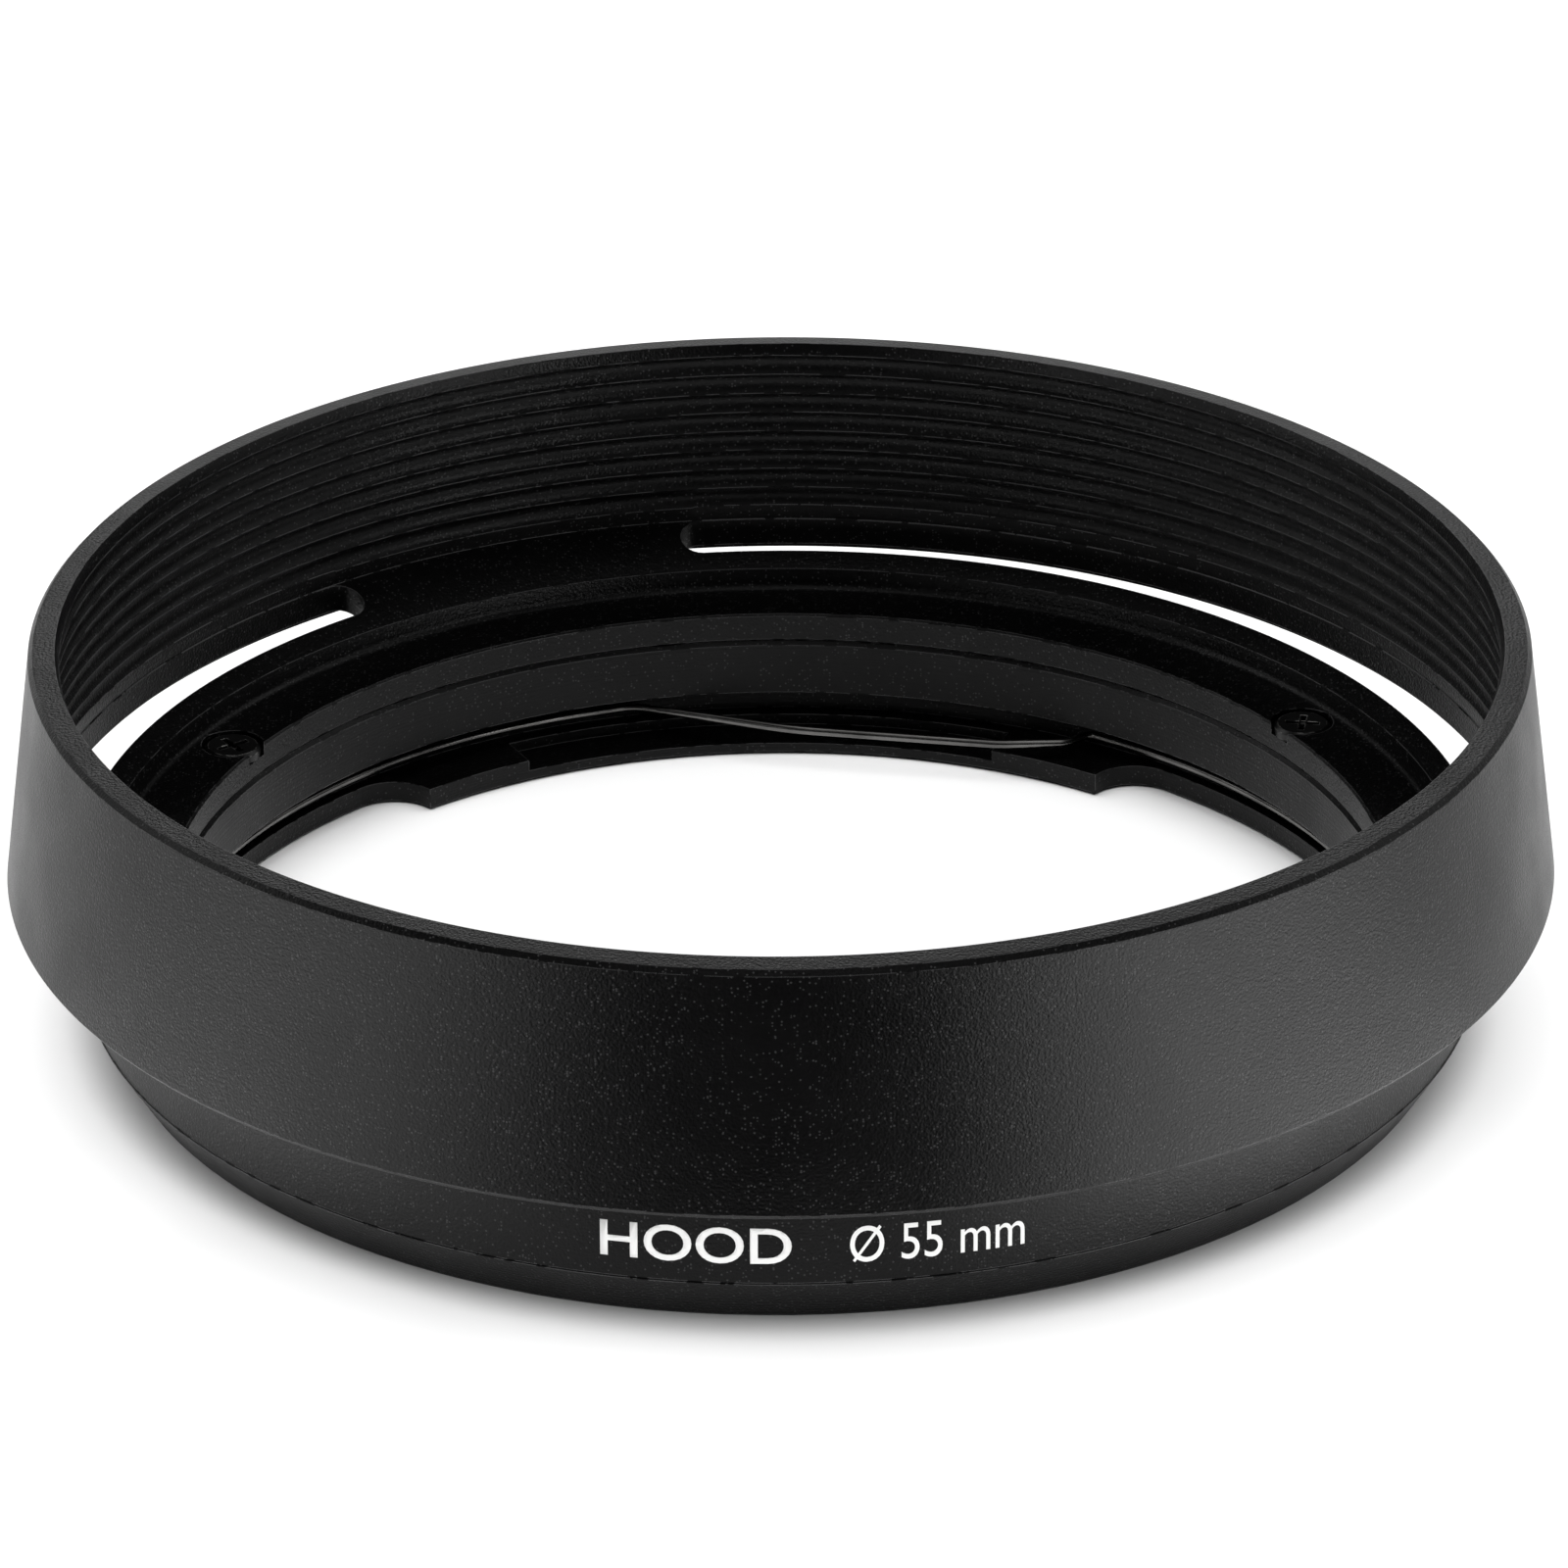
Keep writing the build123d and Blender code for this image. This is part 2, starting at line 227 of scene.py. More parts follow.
def edge_wear_and_highlight_group():
    """Rounds sharp edges by a small radius and says where they are rubbed; the finishes paint this mask
    bright, partly as rubbed wear and partly as painted highlight.
    """
    tree, inputs, outputs = new_group(
        "Rubbed and highlighted edges",
        "ShaderNodeTree",
        [
            ("Patch Scale", "NodeSocketFloat", 900.0),
            ("Cover", "NodeSocketFloat", 0.5),
        ],
        [("Wear And Highlight", "NodeSocketFloat"), ("Normal", "NodeSocketVector")],
    )
    rounded = add_node(tree, "ShaderNodeBevel", {"Radius": EDGE_ROUNDING}, samples=6)
    surface = add_node(tree, "ShaderNodeNewGeometry")
    agreement = add_node(
        tree,
        "ShaderNodeVectorMath",
        {0: rounded.outputs["Normal"], 1: surface.outputs["Normal"]},
        operation="DOT_PRODUCT",
    )
    edge = remap(tree, agreement.outputs["Value"], 0.995, 0.9)
    patches = add_node(
        tree,
        "ShaderNodeTexNoise",
        {"Vector": object_point(tree), "Scale": inputs.outputs["Patch Scale"], "Detail": 5.0},
    )
    threshold = math_node(tree, "SUBTRACT", 1.0, inputs.outputs["Cover"])
    patchy = math_node(tree, "GREATER_THAN", patches.outputs["Fac"], threshold)
    # Patchy edge mask: partly rubbed wear, partly painted highlight.
    patches_of_wear_and_highlight = math_node(tree, "MULTIPLY", patchy, EDGE_WEAR_AND_HIGHLIGHT_SHARE)
    wear_and_highlight = math_node(tree, "MULTIPLY", edge, patches_of_wear_and_highlight)
    tree.links.new(wear_and_highlight, outputs.inputs["Wear And Highlight"])
    tree.links.new(rounded.outputs["Normal"], outputs.inputs["Normal"])
    return tree


def turning_marks_group():
    """Fine rings left by the lathe, as a height that follows radius and height."""
    tree, inputs, outputs = new_group(
        "Turning marks",
        "ShaderNodeTree",
        [("Marks Per Metre", "NodeSocketFloat", 9000.0)],
        [("Height", "NodeSocketFloat")],
    )
    parts = add_node(tree, "ShaderNodeSeparateXYZ", {"Vector": object_point(tree)})
    squared_x = math_node(tree, "MULTIPLY", parts.outputs["X"], parts.outputs["X"])
    squared_y = math_node(tree, "MULTIPLY", parts.outputs["Y"], parts.outputs["Y"])
    radius = math_node(tree, "SQRT", math_node(tree, "ADD", squared_x, squared_y))
    across = math_node(tree, "ADD", radius, parts.outputs["Z"])
    marks = add_node(
        tree,
        "ShaderNodeTexNoise",
        {"W": across, "Scale": inputs.outputs["Marks Per Metre"], "Detail": 2.0},
        noise_dimensions="1D",
    )
    tree.links.new(marks.outputs["Fac"], outputs.inputs["Height"])
    return tree


GRAIN = blasted_grain_group()
EDGES = edge_wear_and_highlight_group()
TURNING = turning_marks_group()


def place_group(tree, group, inputs=None):
    """Shared finish placed in a material with its own values."""
    return add_node(tree, "ShaderNodeGroup", inputs, node_tree=group)


def new_material(name, **uniform):
    """Material with one Principled shader; uniform values sit on its own sockets."""
    material = bpy.data.materials.new(name)
    material.use_nodes = True
    tree = material.node_tree
    shader = tree.nodes["Principled BSDF"]
    for title, value in uniform.items():
        shader.inputs[title.replace("_", " ")].default_value = value
    return material, tree, shader


def two_tone(tree, mask, base, other):
    """Colour that goes from base to other with a mask."""
    mix = add_node(tree, "ShaderNodeMix", {0: mask}, data_type="RGBA")
    mix.inputs[6].default_value = (*base, 1)
    mix.inputs[7].default_value = (*other, 1)
    return mix.outputs[2]


def set_bump(tree, shader, height, depth, normal=None):
    """Bump of a real depth in metres on the shader's normal."""
    inputs = {"Height": height, "Distance": depth}
    if normal is not None:
        inputs["Normal"] = normal
    bump = add_node(tree, "ShaderNodeBump", inputs)
    tree.links.new(bump.outputs["Normal"], shader.inputs["Normal"])


def anodised_black(
    name, black, bare_and_highlight, grain_depth, roughness, wear_and_highlight_cover, glint_fleck_share, turning_share
):
    """Turned and blasted aluminium, black anodised, with slightly rubbed edges; the bright colour is
    partly rubbed wear and partly painted highlight on the edges, and painted glints on the rare grain
    flecks.
    """
    material, tree, shader = new_material(name, Metallic=0.0, IOR=1.5)
    shader.inputs["Specular IOR Level"].default_value = ANODISED_SPECULAR_LEVEL
    grain = place_group(tree, GRAIN, {"Fleck Share": glint_fleck_share})
    edges = place_group(tree, EDGES, {"Cover": wear_and_highlight_cover})
    marks = place_group(tree, TURNING)
    # Painted glints on the grain flecks and painted highlights on the edges share one bright colour with
    # the rubbed wear.
    painted_glints = math_node(tree, "MULTIPLY", grain.outputs["Fleck"], GLINT_FLECK_STRENGTH)
    bright = math_node(tree, "MAXIMUM", edges.outputs["Wear And Highlight"], painted_glints)
    tree.links.new(two_tone(tree, bright, black, bare_and_highlight), shader.inputs["Base Color"])
    low, high = roughness
    varied = remap(tree, grain.outputs["Cloud"], 0.3, 0.7, low, high)
    rubbed = math_node(tree, "MULTIPLY", edges.outputs["Wear And Highlight"], WEAR_POLISH)
    tree.links.new(math_node(tree, "SUBTRACT", varied, rubbed), shader.inputs["Roughness"])
    faint_marks = math_node(tree, "MULTIPLY", marks.outputs["Height"], turning_share)
    height = math_node(tree, "ADD", grain.outputs["Height"], faint_marks)
    set_bump(tree, shader, height, grain_depth, edges.outputs["Normal"])
    return material


def shade_finish():
    """Satin black of the turned shade."""
    return anodised_black(
        "Satin black anodising",
        black=(0.0014, 0.0014, 0.0015),
        bare_and_highlight=(0.17, 0.17, 0.172),
        grain_depth=0.021 * MM,
        roughness=(0.32, 0.40),
        wear_and_highlight_cover=0.56,
        glint_fleck_share=0.2,
        turning_share=0.2,
    )


def mount_finish():
    """Black anodising over lathe marks, on the mount ring."""
    return anodised_black(
        "Black anodised mount",
        black=(0.0014, 0.0014, 0.0015),
        bare_and_highlight=(0.17, 0.17, 0.172),
        grain_depth=0.015 * MM,
        roughness=(0.34, 0.44),
        wear_and_highlight_cover=0.56,
        glint_fleck_share=0.15,
        turning_share=0.8,
    )


def wire_finish():
    """Drawn spring steel: fine streaks along the wire."""
    material, tree, shader = new_material("Drawn spring steel", Metallic=1.0)
    along = add_node(tree, "ShaderNodeAttribute", attribute_name="along").outputs["Fac"]
    around = add_node(tree, "ShaderNodeAttribute", attribute_name="around").outputs["Fac"]
    stretched = add_node(
        tree,
        "ShaderNodeCombineXYZ",
        {"X": math_node(tree, "MULTIPLY", along, 350.0), "Y": math_node(tree, "MULTIPLY", around, 40.0)},
    )
    streaks = add_node(
        tree, "ShaderNodeTexNoise", {"Vector": stretched.outputs[0], "Scale": 1.0, "Detail": 4.0}
    )
    stains = add_node(
        tree, "ShaderNodeTexNoise", {"Vector": object_point(tree), "Scale": 420.0, "Detail": 3.0}
    )
    tone = remap(tree, stains.outputs["Fac"], 0.4, 0.75)
    tree.links.new(
        two_tone(tree, tone, (0.16, 0.157, 0.153), (0.08, 0.078, 0.076)), shader.inputs["Base Color"]
    )
    tree.links.new(
        remap(tree, streaks.outputs["Fac"], 0.3, 0.7, 0.18, 0.34), shader.inputs["Roughness"]
    )
    set_bump(tree, shader, streaks.outputs["Fac"], 0.002 * MM)
    return material


def screw_finish():
    """Blackened steel, bright on its sharp edges, those of the recess among them: partly rubbed wear and
    partly painted glints.
    """
    material, tree, shader = new_material("Blackened screw steel", Metallic=0.6, IOR=1.5)
    edges = place_group(tree, EDGES, {"Patch Scale": 2500.0, "Cover": 0.5})
    grain = place_group(tree, GRAIN, {"Grains Per Metre": 16000.0, "Fleck Share": 0.03})
    # Bright colour on the edges: partly rubbed wear, partly painted glints.
    tree.links.new(
        two_tone(tree, edges.outputs["Wear And Highlight"], (0.012, 0.012, 0.012), (0.6, 0.59, 0.57)),
        shader.inputs["Base Color"],
    )
    tree.links.new(
        remap(tree, grain.outputs["Cloud"], 0.3, 0.7, 0.28, 0.4), shader.inputs["Roughness"]
    )
    set_bump(tree, shader, grain.outputs["Height"], 0.003 * MM, edges.outputs["Normal"])
    return material


def print_finish():
    """White pad-printing ink with a slightly uneven film."""
    material, tree, shader = new_material("White printing ink", IOR=1.45)
    grain = place_group(tree, GRAIN, {"Grains Per Metre": 9000.0, "Fleck Share": 0.0})
    thin = remap(tree, grain.outputs["Cloud"], 0.62, 0.8)
    tree.links.new(
        two_tone(tree, thin, (0.86, 0.86, 0.85), (0.6, 0.6, 0.6)), shader.inputs["Base Color"]
    )
    tree.links.new(
        remap(tree, grain.outputs["Cloud"], 0.3, 0.7, 0.5, 0.62), shader.inputs["Roughness"]
    )
    set_bump(tree, shader, grain.outputs["Height"], 0.002 * MM)
    return material


def floor_finish():
    """Pale matt table top with a barely visible tone change."""
    material, tree, shader = new_material("Pale studio table", IOR=1.3)
    shader.inputs["Specular IOR Level"].default_value = 0.0
    soft = add_node(
        tree, "ShaderNodeTexNoise", {"Vector": object_point(tree), "Scale": 30.0, "Detail": 4.0}
    )
    tree.links.new(
        two_tone(tree, soft.outputs["Fac"], (0.9, 0.9, 0.9), (0.88, 0.88, 0.88)),
        shader.inputs["Base Color"],
    )
    tree.links.new(
        remap(tree, soft.outputs["Fac"], 0.3, 0.7, 0.85, 0.95), shader.inputs["Roughness"]
    )
    return material


# Pieces made by geometry nodes


def link_object(name, data):
    """New object in the scene, at the origin."""
    made = bpy.data.objects.new(name, data)
    bpy.context.scene.collection.objects.link(made)
    return made


def grow(base, tree, values, name):
    """Plain mesh that a node tree makes of a base object, with the modifier gone."""
    modifier = base.modifiers.new(tree.name, "NODES")
    modifier.node_group = tree
    sockets = {item.name: item.identifier for item in tree.interface.items_tree}
    for title, value in values.items():
        modifier[sockets[title]] = value
    bpy.context.view_layer.update()
    evaluated = base.evaluated_get(bpy.context.evaluated_depsgraph_get())
    mesh = bpy.data.meshes.new_from_object(evaluated)
    base.modifiers.remove(modifier)
    bpy.data.objects.remove(base)
    mesh.name = name
    return link_object(name, mesh)


def angle_of_copy(tree, count, first_angle):
    """Clock angle of each copy, evenly spaced round the axis."""
    number = add_node(tree, "GeometryNodeInputIndex").outputs[0]
    step = math_node(tree, "DIVIDE", tau, count)
    turned_by = math_node(tree, "MULTIPLY", number, step)
    return math_node(tree, "ADD", turned_by, first_angle)


def end_tree(tree, geometry, inputs, outputs):
    """Makes copies real, gives them the finish and hands them out."""
    real = add_node(tree, "GeometryNodeRealizeInstances", {"Geometry": geometry})
    painted = add_node(
        tree,
        "GeometryNodeSetMaterial",
        {"Geometry": real.outputs["Geometry"], "Material": inputs.outputs["Finish"]},
    )
    tree.links.new(painted.outputs["Geometry"], outputs.inputs["Geometry"])
    return tree


def wire_tree():
    """Round wire along a path, carrying its length and its turn as attributes."""
    tree, inputs, outputs = new_group(
        "Round wire along a path",
        "GeometryNodeTree",
        [
            ("Path", "NodeSocketGeometry", None),
            ("Wire Radius", "NodeSocketFloat", WIRE_RADIUS),
            ("Sides", "NodeSocketInt", WIRE_SIDES),
            ("Finish", "NodeSocketMaterial", None),
        ],
        [("Geometry", "NodeSocketGeometry")],
    )
    path_place = add_node(tree, "GeometryNodeSplineParameter")
    turn_place = add_node(tree, "GeometryNodeSplineParameter")
    measured_path = add_node(
        tree,
        "GeometryNodeStoreNamedAttribute",
        {"Geometry": inputs.outputs["Path"], "Name": "along", "Value": path_place.outputs["Length"]},
    )
    section = add_node(
        tree,
        "GeometryNodeCurvePrimitiveCircle",
        {"Resolution": inputs.outputs["Sides"], "Radius": inputs.outputs["Wire Radius"]},
    )
    measured_section = add_node(
        tree,
        "GeometryNodeStoreNamedAttribute",
        {"Geometry": section.outputs["Curve"], "Name": "around", "Value": turn_place.outputs["Factor"]},
    )
    tube = add_node(
        tree,
        "GeometryNodeCurveToMesh",
        {
            "Curve": measured_path.outputs["Geometry"],
            "Profile Curve": measured_section.outputs["Geometry"],
            "Fill Caps": True,
        },
    )
    return end_tree(tree, tube.outputs["Mesh"], inputs, outputs)


def screw_tree():
    """Cuts a cross recess in a screw and sets copies round a circle."""
    tree, inputs, outputs = new_group(
        "Screws on a circle",
        "GeometryNodeTree",
        [
            ("Screw", "NodeSocketGeometry", None),
            ("Count", "NodeSocketInt", SCREW_COUNT),
            ("Circle Radius", "NodeSocketFloat", SCREW_CIRCLE_RADIUS),
            ("First Angle", "NodeSocketFloat", radians(SCREW_FIRST_ANGLE)),
            ("Recess Span", "NodeSocketFloat", RECESS_SPAN),
            ("Recess Width", "NodeSocketFloat", RECESS_WIDTH),
            ("Recess Depth", "NodeSocketFloat", RECESS_DEPTH),
            ("Head Top", "NodeSocketFloat", SCREW_SEAT_HEIGHT + SCREW_HEAD_THICKNESS),
            ("Finish", "NodeSocketMaterial", None),
        ],
        [("Geometry", "NodeSocketGeometry")],
    )
    double_depth = math_node(tree, "MULTIPLY", inputs.outputs["Recess Depth"], 2.0)
    blades = []
    for turn in (0.0, pi / 2):
        size = add_node(
            tree,
            "ShaderNodeCombineXYZ",
            {
                "X": inputs.outputs["Recess Span"],
                "Y": inputs.outputs["Recess Width"],
                "Z": double_depth,
            },
        )
        blade = add_node(tree, "GeometryNodeMeshCube", {"Size": size.outputs[0]})
        place = add_node(tree, "ShaderNodeCombineXYZ", {"Z": inputs.outputs["Head Top"]})
        turned = add_node(
            tree,
            "GeometryNodeTransform",
            {
                "Geometry": blade.outputs["Mesh"],
                "Translation": place.outputs[0],
                "Rotation": Euler((0, 0, turn)),
            },
        )
        blades.append(turned.outputs["Geometry"])
    cut = inputs.outputs["Screw"]
    for blade in blades:
        boolean = add_node(
            tree, "GeometryNodeMeshBoolean", {"Mesh 1": cut, "Mesh 2": blade}, operation="DIFFERENCE"
        )
        cut = boolean.outputs["Mesh"]
    angle = angle_of_copy(tree, inputs.outputs["Count"], inputs.outputs["First Angle"])
    across = math_node(
        tree, "MULTIPLY", math_node(tree, "SINE", angle), inputs.outputs["Circle Radius"]
    )
    back = math_node(
        tree, "MULTIPLY", math_node(tree, "COSINE", angle), inputs.outputs["Circle Radius"]
    )
    place = add_node(tree, "ShaderNodeCombineXYZ", {"X": across, "Y": back})
    points = add_node(
        tree,
        "GeometryNodePoints",
        {"Count": inputs.outputs["Count"], "Position": place.outputs[0]},
    )
    spin = add_node(
        tree, "ShaderNodeCombineXYZ", {"Z": math_node(tree, "MULTIPLY", angle, SCREW_TURN_PER_PLACE)}
    )
    copies = add_node(
        tree,
        "GeometryNodeInstanceOnPoints",
        {"Points": points.outputs[0], "Instance": cut, "Rotation": spin.outputs[0]},
    )
    return end_tree(tree, copies.outputs[0], inputs, outputs)


def turned(name, outline, steps, closed):
    """Lathe mesh of a half section given as (radius, height) points."""
    shape = bmesh.new()
    points = [shape.verts.new((radius, 0, height)) for radius, height in outline]
    edges = [shape.edges.new(pair) for pair in zip(points, points[1:])]
    if closed:
        edges.append(shape.edges.new((points[-1], points[0])))
    bmesh.ops.spin(
        shape, geom=points + edges, cent=(0, 0, 0), axis=(0, 0, 1), angle=tau, steps=steps
    )
    bmesh.ops.remove_doubles(shape, verts=shape.verts, dist=MERGE_DISTANCE)
    bmesh.ops.recalc_face_normals(shape, faces=shape.faces)
    mesh = bpy.data.meshes.new(name)
    shape.to_mesh(mesh)
    shape.free()
    return link_object(name, mesh)


def prism(name, outline, span):
    """Closed upright prism between two heights."""
    bottom, top = span
    count = len(outline)
    points = [(point.x, point.y, height) for height in (bottom, top) for point in outline]
    sides = [(i, (i + 1) % count, count + (i + 1) % count, count + i) for i in range(count)]
    mesh = bpy.data.meshes.new(name)
    mesh.from_pydata(points, [], [*sides, range(count - 1, -1, -1), range(count, 2 * count)])
    shape = bmesh.new()
    shape.from_mesh(mesh)
    bmesh.ops.recalc_face_normals(shape, faces=shape.faces)
    shape.to_mesh(mesh)
    shape.free()
    return link_object(name, mesh)


def smooth_between_edges(piece):
    """Smooth shading that stops at sharp edges."""
    piece.data.shade_smooth()
    piece.data.set_sharp_from_angle(angle=radians(SHARP_ANGLE))


def circle_cut_tree():
    """Cuts copies of one cutter out of a body, evenly spaced round the axis."""
    tree, inputs, outputs = new_group(
        "Cuts round a circle",
        "GeometryNodeTree",
        [
            ("Body", "NodeSocketGeometry", None),
            ("Cutter", "NodeSocketObject", None),
            ("Count", "NodeSocketInt", 3),
            ("First Angle", "NodeSocketFloat", 0.0),
            ("Finish", "NodeSocketMaterial", None),
        ],
        [("Geometry", "NodeSocketGeometry")],
    )
    cutter = add_node(tree, "GeometryNodeObjectInfo", {"Object": inputs.outputs["Cutter"]})
    angle = angle_of_copy(tree, inputs.outputs["Count"], inputs.outputs["First Angle"])
    spin = add_node(
        tree, "ShaderNodeCombineXYZ", {"Z": math_node(tree, "MULTIPLY", angle, -1.0)}
    )
    points = add_node(tree, "GeometryNodePoints", {"Count": inputs.outputs["Count"]})
    copies = add_node(
        tree,
        "GeometryNodeInstanceOnPoints",
        {
            "Points": points.outputs[0],
            "Instance": cutter.outputs["Geometry"],
            "Rotation": spin.outputs[0],
        },
    )
    cutters = add_node(tree, "GeometryNodeRealizeInstances", {"Geometry": copies.outputs[0]})
    cut = add_node(
        tree,
        "GeometryNodeMeshBoolean",
        {"Mesh 1": inputs.outputs["Body"], "Mesh 2": cutters.outputs[0]},
        operation="DIFFERENCE",
        solver="EXACT",
    )
    return end_tree(tree, cut.outputs["Mesh"], inputs, outputs)


# Shade


def baffle_crest(number):
    """One crest of the baffle grooves, counted down from the rim."""
    drop = number * BAFFLE_PITCH
    return Vector((BAFFLE_TOP[0] + drop * BAFFLE_SLOPE, BAFFLE_TOP[1] - drop))


def baffle_groove(number):
    """Round-bottomed groove from one crest towards the next, which is left out."""
    upper = baffle_crest(number)
    lower = baffle_crest(number + 1)
    half_chord = (lower - upper).length / 2
    radius = (half_chord**2 + BAFFLE_DEPTH**2) / (2 * BAFFLE_DEPTH)
    along = (upper - lower).normalized()
    outwards = Vector((along.y, -along.x))
    centre = (upper + lower) / 2 + outwards * (BAFFLE_DEPTH - radius)
    reach = asin(half_chord / radius)
    turns = [reach * (1 - 2 * step / BAFFLE_STEPS) for step in range(BAFFLE_STEPS)]
    return [centre + (outwards * cos(turn) + along * sin(turn)) * radius for turn in turns]


def shade_outline():
    """Half section of the whole shade, in metres."""
    outline = list(RIM_OUTLINE)
    for number in range(BAFFLE_COUNT):
        outline += baffle_groove(number)
    outline += [baffle_crest(BAFFLE_COUNT), *WEB_AND_LIP_OUTLINE]
    for step in range(FLOOR_CORNER_STEPS + 1):
        turn = radians(-90 * step / FLOOR_CORNER_STEPS)
        x = FLOOR_CORNER_CENTRE[0] + FLOOR_CORNER_RADIUS * cos(turn)
        outline.append((x, FLOOR_CORNER_CENTRE[1] + FLOOR_CORNER_RADIUS * sin(turn)))
    outline += FLOOR_OUTLINE + BASE_OUTLINE + SKIRT_OUTLINE
    return [(radius * MM, height * MM) for radius, height in outline]


def vent_outline():
    """Arc-shaped slot with round ends, its middle at the back."""
    middle = (VENT_INNER_RADIUS + VENT_OUTER_RADIUS) / 2
    half_width = (VENT_OUTER_RADIUS - VENT_INNER_RADIUS) / 2
    reach = VENT_OPENING_ANGLE / 2 - degrees(asin(half_width / middle))
    steps = VENT_ARC_STEPS
    outer = [at_clock(VENT_OUTER_RADIUS, reach * (2 * i / steps - 1)) for i in range(steps + 1)]
    inner = [at_clock(VENT_INNER_RADIUS, reach * (1 - 2 * i / steps)) for i in range(steps + 1)]

    def end(angle, start):
        places = range(1, VENT_END_STEPS)
        turns = [radians(start + 180 * i / VENT_END_STEPS - angle) for i in places]
        centre = at_clock(middle, angle)
        return [centre + Vector((cos(turn), sin(turn), 0)) * half_width for turn in reversed(turns)]

    return outer + end(reach, -90) + inner + end(-reach, 90)


def round_cutter(radius, span):
    """Upright pin on the screw circle, its middle at the back."""
    centre = at_clock(SCREW_CIRCLE_RADIUS, 0)
    circle = [
        centre + at_clock(radius, -360 * (i + 0.5) / ROUND_SIDES) for i in range(ROUND_SIDES)
    ]
    return prism("round_cutter", circle, span)


def shade(finish):
    """Turned shade with its vents and its screw holes."""
    body = turned("plain_shade", shade_outline(), TURNED_STEPS, closed=True)
    tree = circle_cut_tree()
    vent = prism("vent_cutter", vent_outline(), VENT_CUT)
    bore = round_cutter(COUNTERBORE_RADIUS, (SCREW_SEAT_HEIGHT, COUNTERBORE_TOP))
    hole = round_cutter(CLEARANCE_HOLE_RADIUS, (CLEARANCE_HOLE_BOTTOM, COUNTERBORE_TOP))
    cuts = [
        (vent, VENT_COUNT, VENT_FIRST_ANGLE),
        (bore, SCREW_COUNT, SCREW_FIRST_ANGLE),
        (hole, SCREW_COUNT, SCREW_FIRST_ANGLE),
    ]
    for cutter, count, angle in cuts:
        values = {"Cutter": cutter, "Count": count, "First Angle": radians(angle), "Finish": finish}
        body = grow(body, tree, values, "shade_body")
        bpy.data.objects.remove(cutter)
    smooth_between_edges(body)
    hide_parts("hood_shell")
    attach(body, "hood")


# Wire


def rounded_corner(before, corner, after, radius):
    """Points of the arc that rounds one corner of a path."""
    to_before = (before - corner).normalized()
    to_after = (after - corner).normalized()
    half = to_before.angle(to_after) / 2
    reach = radius / tan(half)
    centre = corner + (to_before + to_after).normalized() * radius / sin(half)
    first = (corner + to_before * reach - centre).normalized()
    last = (corner + to_after * reach - centre).normalized()
    steps = max(4, int(degrees(first.angle(last)) / CORNER_STEP_ANGLE))
    return [centre + first.slerp(last, step / steps) * radius for step in range(steps + 1)]


def wire_route():
    """Points of the whole wire, from its left end to its right end."""
    left_end, right_end = ARM_ENDS
    left_root, right_root = BOW_ROOTS
    left_count = int((left_root - left_end) / ARM_STEP_ANGLE)
    right_count = int((right_end - right_root) / ARM_STEP_ANGLE)
    left_arm = [left_end + (left_root - left_end) * i / left_count for i in range(left_count + 1)]
    right_arm = [
        right_root + (right_end - right_root) * i / right_count for i in range(right_count + 1)
    ]
    corners = [at_clock(WIRE_PATH_RADIUS, left_root)]
    corners += [Vector((x * MM, y * MM, 0)) for x, y in BOW_CORNERS]
    corners += [at_clock(WIRE_PATH_RADIUS, right_root)]
    route = [at_clock(WIRE_PATH_RADIUS, angle) for angle in left_arm]
    for index, radius in enumerate(BOW_CORNER_RADII):
        route += rounded_corner(*corners[index : index + 3], radius * MM)
    route += [at_clock(WIRE_PATH_RADIUS, angle) for angle in right_arm]
    return [Vector((point.x, point.y, WIRE_HEIGHT)) for point in route]


def clock_of(point):
    """Clock angle of a point, in degrees."""
    return degrees(atan2(point.x, point.y))


def path_object(name, runs):
    """Curve object with one straight-segment spline for each run of points."""
    curve = bpy.data.curves.new(name, "CURVE")
    curve.dimensions = "3D"
    for run in runs:
        spline = curve.splines.new("POLY")
        spline.points.add(len(run) - 1)
        for place, point in zip(spline.points, run):
            place.co = (*point, 1)
    return link_object(name, curve)


def wire_pieces(finish):
    """Arms that stay in the groove, and the bow that springs outwards."""
    route = wire_route()
    left_split, right_split = BOW_SPLITS
    first = next(i for i, point in enumerate(route) if clock_of(point) > left_split)
    last = max(i for i, point in enumerate(route) if clock_of(point) < right_split)
    tree = wire_tree()
    arms = grow(
        path_object("arm_paths", [route[: first + 1], route[last:]]),
        tree,
        {"Wire Radius": WIRE_RADIUS, "Sides": WIRE_SIDES, "Finish": finish},
        "wire_arms",
    )
    bow = grow(
        path_object("bow_path", [route[first : last + 1]]),
        tree,
        {"Wire Radius": WIRE_RADIUS, "Sides": WIRE_SIDES, "Finish": finish},
        "wire_bow",
    )
    for piece in (arms, bow):
        piece.data.shade_smooth()
        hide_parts("retaining_wire")
    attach(arms, "hood")
    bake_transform(bow)


# Screws


def screw_outline():
    """Half section of one screw: chamfered tip, shank and chamfered head."""
    top = SCREW_SEAT_HEIGHT + SCREW_HEAD_THICKNESS
    tip = SCREW_SEAT_HEIGHT - SCREW_SHANK_LENGTH
    tip_edge = SCREW_TIP_CHAMFER
    head_edge = SCREW_HEAD_CHAMFER
    return [
        (0, tip),
        (SCREW_SHANK_RADIUS - tip_edge, tip),
        (SCREW_SHANK_RADIUS, tip + tip_edge),
        (SCREW_SHANK_RADIUS, SCREW_SEAT_HEIGHT),
        (SCREW_HEAD_RADIUS, SCREW_SEAT_HEIGHT),
        (SCREW_HEAD_RADIUS, top - head_edge),
        (SCREW_HEAD_RADIUS - head_edge, top),
        (0, top),
    ]


